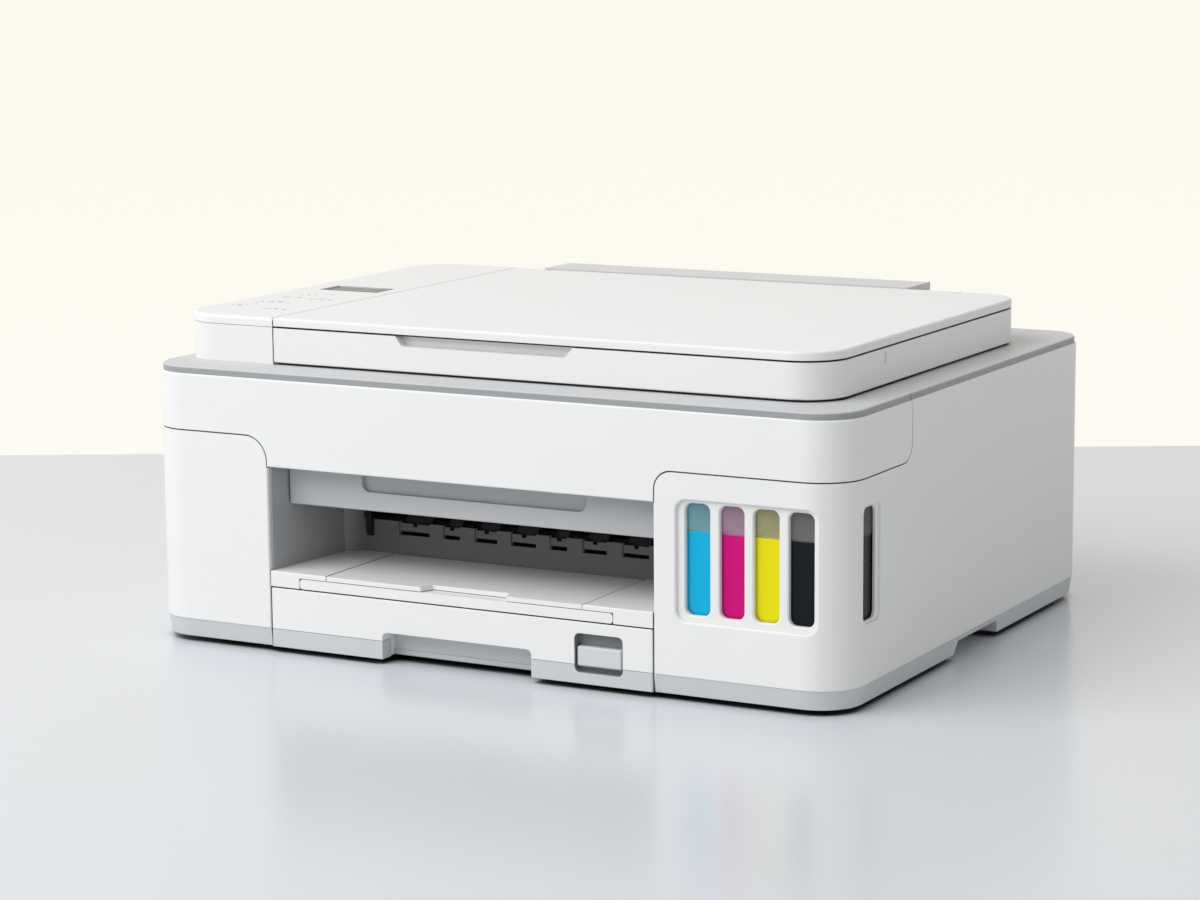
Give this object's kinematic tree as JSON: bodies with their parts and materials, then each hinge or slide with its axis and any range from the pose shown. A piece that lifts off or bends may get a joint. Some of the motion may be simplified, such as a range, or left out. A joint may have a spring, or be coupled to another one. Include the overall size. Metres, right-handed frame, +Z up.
{
  "type": "multifunction printer",
  "caption": "Flatbed multifunction ink tank printer with lifting scanner unit and lid, rear feed cover, paper drawer, output bay and see-through ink tanks.",
  "frame": {"origin": "centre of the footprint at the underside of the feet", "axes": "+X right along the front, +Y to the back, +Z up"},
  "size_m": [0.416, 0.337, 0.177],
  "materials": {
    "white_plastic": "fine satin moulding",
    "deck_grey": "satin blue grey",
    "light_grey_plastic": "satin light grey",
    "bay_grey": "satin mid grey",
    "dark_plastic": "satin",
    "black_plastic": "satin",
    "rubber": "matt",
    "steel": "drawn",
    "display": "gloss",
    "circuit_board": "satin",
    "glass": "polished",
    "foam": "soft",
    "clear_plastic": "clear",
    "cyan_plastic": "gloss",
    "magenta_plastic": "gloss",
    "yellow_plastic": "gloss",
    "key_plastic": "satin"
  },
  "bodies": {
    "root": {"base_pan": "deck_grey", "feet": "rubber", "main_shell": "white_plastic", "front_cover": "white_plastic", "top_deck": "deck_grey", "panel_shell": "white_plastic", "panel_top": "white_plastic", "display_window": "display", "circuit_boards": "circuit_board", "rear_housing": "light_grey_plastic", "bay_liner": "bay_grey", "output_tray": "white_plastic", "exit_roof": "black_plastic", "side_frames": "steel", "platen": "black_plastic", "capping_unit": "black_plastic", "carriage_motor": "steel", "timing_belt": "rubber", "ink_tanks": "clear_plastic", "ink_tubes": "clear_plastic", "power_supply": "steel", "rear_sockets": "black_plastic"},
    "scanner_unit": {"scanner_shell": "white_plastic", "scanner_bezel": "light_grey_plastic", "scanner_glass": "glass"},
    "scan_bar": {"scan_bar": "black_plastic"},
    "lid": {"document_lid": "white_plastic", "lid_pad": "foam"},
    "rear_cover": {"rear_cover": "light_grey_plastic"},
    "rear_guide_left": {"rear_guide_left": "light_grey_plastic"},
    "rear_guide_right": {"rear_guide_right": "light_grey_plastic"},
    "pickup_roller": {"pickup_roller": "rubber"},
    "output_cover": {"output_cover": "light_grey_plastic"},
    "sliding_tray": {"sliding_tray": "white_plastic"},
    "tray_extension": {"tray_extension": "white_plastic"},
    "drawer": {"drawer": "light_grey_plastic", "drawer_front": "white_plastic", "drawer_band": "deck_grey"},
    "latch_button": {"latch_button": "light_grey_plastic"},
    "paper_guide_left": {"paper_guide_left": "light_grey_plastic"},
    "paper_guide_right": {"paper_guide_right": "light_grey_plastic"},
    "guide_pinion": {"guide_pinion": "light_grey_plastic"},
    "end_guide": {"end_guide": "light_grey_plastic"},
    "carriage": {"carriage": "dark_plastic", "print_heads": "black_plastic"},
    "motor_pulley": {"motor_pulley": "steel"},
    "idler_pulley": {"idler_pulley": "black_plastic"},
    "feed_roller": {"feed_roller": "steel"},
    "exit_roller": {"exit_roller": "rubber"},
    "idler_gear": {"idler_gear": "black_plastic"},
    "star_wheels": {"star_wheels": "steel"},
    "cap_cyan": {"cap_cyan": "cyan_plastic"},
    "cap_magenta": {"cap_magenta": "magenta_plastic"},
    "cap_yellow": {"cap_yellow": "yellow_plastic"},
    "cap_black": {"cap_black": "black_plastic"},
    "key_power": {"key_power": "key_plastic"},
    "key_stop": {"key_stop": "key_plastic"},
    "key_start": {"key_start": "key_plastic"},
    "key_menu": {"key_menu": "key_plastic"},
    "key_ok": {"key_ok": "key_plastic"}
  },
  "joints": [
    {"name": "scanner_hinge", "type": "hinge", "parent": "root", "child": "scanner_unit", "pos_m": [0, 0.1245, 0.172], "axis": [-1, 0, 0], "range_deg": [0, 40]},
    {"name": "lid_hinge", "type": "hinge", "parent": "scanner_unit", "child": "lid", "pos_m": [0, 0.1187, 0.1747], "axis": [-1, 0, 0], "range_deg": [0, 85]},
    {"name": "scan_slide", "type": "slide", "parent": "scanner_unit", "child": "scan_bar", "axis": [1, 0, 0], "range_m": [0, 0.29]},
    {"name": "rear_cover_hinge", "type": "hinge", "parent": "root", "child": "rear_cover", "pos_m": [0, 0.1562, 0.1747], "axis": [-1, 0, 0], "range_deg": [0, 110]},
    {"name": "rear_guide_left_slide", "type": "slide", "parent": "root", "child": "rear_guide_left", "axis": [1, 0, 0], "range_m": [0, 0.03]},
    {"name": "rear_guide_right_slide", "type": "slide", "parent": "root", "child": "rear_guide_right", "axis": [-1, 0, 0], "range_m": [0, 0.03]},
    {"name": "pickup_spin", "type": "hinge", "parent": "root", "child": "pickup_roller", "pos_m": [0, 0.1098, 0.1127], "axis": [1, 0, 0], "continuous": true},
    {"name": "output_cover_hinge", "type": "hinge", "parent": "root", "child": "output_cover", "pos_m": [0, -0.1495, 0.11], "axis": [-1, 0, 0], "range_deg": [0, 40]},
    {"name": "sliding_tray_slide", "type": "slide", "parent": "root", "child": "sliding_tray", "axis": [0, -1, 0], "range_m": [0, 0.09]},
    {"name": "tray_extension_slide", "type": "slide", "parent": "sliding_tray", "child": "tray_extension", "axis": [0, -1, 0], "range_m": [0, 0.05]},
    {"name": "drawer_slide", "type": "slide", "parent": "root", "child": "drawer", "axis": [0, -1, 0], "range_m": [0, 0.24]},
    {"name": "latch_slide", "type": "slide", "parent": "drawer", "child": "latch_button", "axis": [0, 0, 1], "range_m": [0, 0.006], "stiffness_N_per_m": 60, "springref_m": -0.002},
    {"name": "paper_guide_left_slide", "type": "slide", "parent": "drawer", "child": "paper_guide_left", "axis": [1, 0, 0], "range_m": [0, 0.03]},
    {"name": "paper_guide_right_slide", "type": "slide", "parent": "drawer", "child": "paper_guide_right", "axis": [-1, 0, 0], "range_m": [0, 0.03]},
    {"name": "guide_pinion_spin", "type": "hinge", "parent": "drawer", "child": "guide_pinion", "pos_m": [-0.0129, -0.002, 0.0095], "axis": [0, 0, 1], "range_deg": [0, 215]},
    {"name": "end_guide_slide", "type": "slide", "parent": "drawer", "child": "end_guide", "axis": [0, -1, 0], "range_m": [0, 0.085]},
    {"name": "carriage_slide", "type": "slide", "parent": "root", "child": "carriage", "axis": [-1, 0, 0], "range_m": [0, 0.22]},
    {"name": "motor_pulley_spin", "type": "hinge", "parent": "root", "child": "motor_pulley", "pos_m": [-0.14, -0.0135, 0.094], "axis": [0, 1, 0], "range_deg": [0, 2140]},
    {"name": "idler_pulley_spin", "type": "hinge", "parent": "root", "child": "idler_pulley", "pos_m": [0.14, -0.0135, 0.094], "axis": [0, 1, 0], "range_deg": [0, 2140]},
    {"name": "feed_spin", "type": "hinge", "parent": "root", "child": "feed_roller", "pos_m": [0, 0.005, 0.06], "axis": [1, 0, 0], "continuous": true},
    {"name": "exit_spin", "type": "hinge", "parent": "root", "child": "exit_roller", "pos_m": [0, -0.088, 0.06], "axis": [1, 0, 0], "continuous": true},
    {"name": "idler_spin", "type": "hinge", "parent": "root", "child": "idler_gear", "pos_m": [0, -0.0415, 0.06], "axis": [1, 0, 0], "continuous": true},
    {"name": "star_spin", "type": "hinge", "parent": "root", "child": "star_wheels", "pos_m": [0, -0.088, 0.0713], "axis": [1, 0, 0], "continuous": true},
    {"name": "cap_cyan_hinge", "type": "hinge", "parent": "root", "child": "cap_cyan", "pos_m": [0, -0.1035, 0.1145], "axis": [-1, 0, 0], "range_deg": [0, 100]},
    {"name": "cap_magenta_hinge", "type": "hinge", "parent": "root", "child": "cap_magenta", "pos_m": [0, -0.1035, 0.1145], "axis": [-1, 0, 0], "range_deg": [0, 100]},
    {"name": "cap_yellow_hinge", "type": "hinge", "parent": "root", "child": "cap_yellow", "pos_m": [0, -0.1035, 0.1145], "axis": [-1, 0, 0], "range_deg": [0, 100]},
    {"name": "cap_black_hinge", "type": "hinge", "parent": "root", "child": "cap_black", "pos_m": [0, -0.1035, 0.1145], "axis": [-1, 0, 0], "range_deg": [0, 100]},
    {"name": "key_power_press", "type": "slide", "parent": "root", "child": "key_power", "axis": [0, 0, -1], "range_m": [0, 0.0008], "stiffness_N_per_m": 200, "springref_m": -0.0005},
    {"name": "key_stop_press", "type": "slide", "parent": "root", "child": "key_stop", "axis": [0, 0, -1], "range_m": [0, 0.0008], "stiffness_N_per_m": 200, "springref_m": -0.0005},
    {"name": "key_start_press", "type": "slide", "parent": "root", "child": "key_start", "axis": [0, 0, -1], "range_m": [0, 0.0008], "stiffness_N_per_m": 200, "springref_m": -0.0005},
    {"name": "key_menu_press", "type": "slide", "parent": "root", "child": "key_menu", "axis": [0, 0, -1], "range_m": [0, 0.0008], "stiffness_N_per_m": 200, "springref_m": -0.0005},
    {"name": "key_ok_press", "type": "slide", "parent": "root", "child": "key_ok", "axis": [0, 0, -1], "range_m": [0, 0.0008], "stiffness_N_per_m": 200, "springref_m": -0.0005}
  ],
  "couplings": [
    {"joint": "exit_spin", "follows": "feed_spin", "ratio": 1},
    {"joint": "idler_spin", "follows": "feed_spin", "ratio": -0.55},
    {"joint": "star_spin", "follows": "feed_spin", "ratio": -1.1538},
    {"joint": "motor_pulley_spin", "follows": "carriage_slide", "rad_per_m": 169.49},
    {"joint": "idler_pulley_spin", "follows": "carriage_slide", "rad_per_m": 169.49},
    {"joint": "rear_guide_right_slide", "follows": "rear_guide_left_slide", "ratio": 1},
    {"joint": "paper_guide_right_slide", "follows": "paper_guide_left_slide", "ratio": 1},
    {"joint": "guide_pinion_spin", "follows": "paper_guide_left_slide", "rad_per_m": 125}
  ]
}
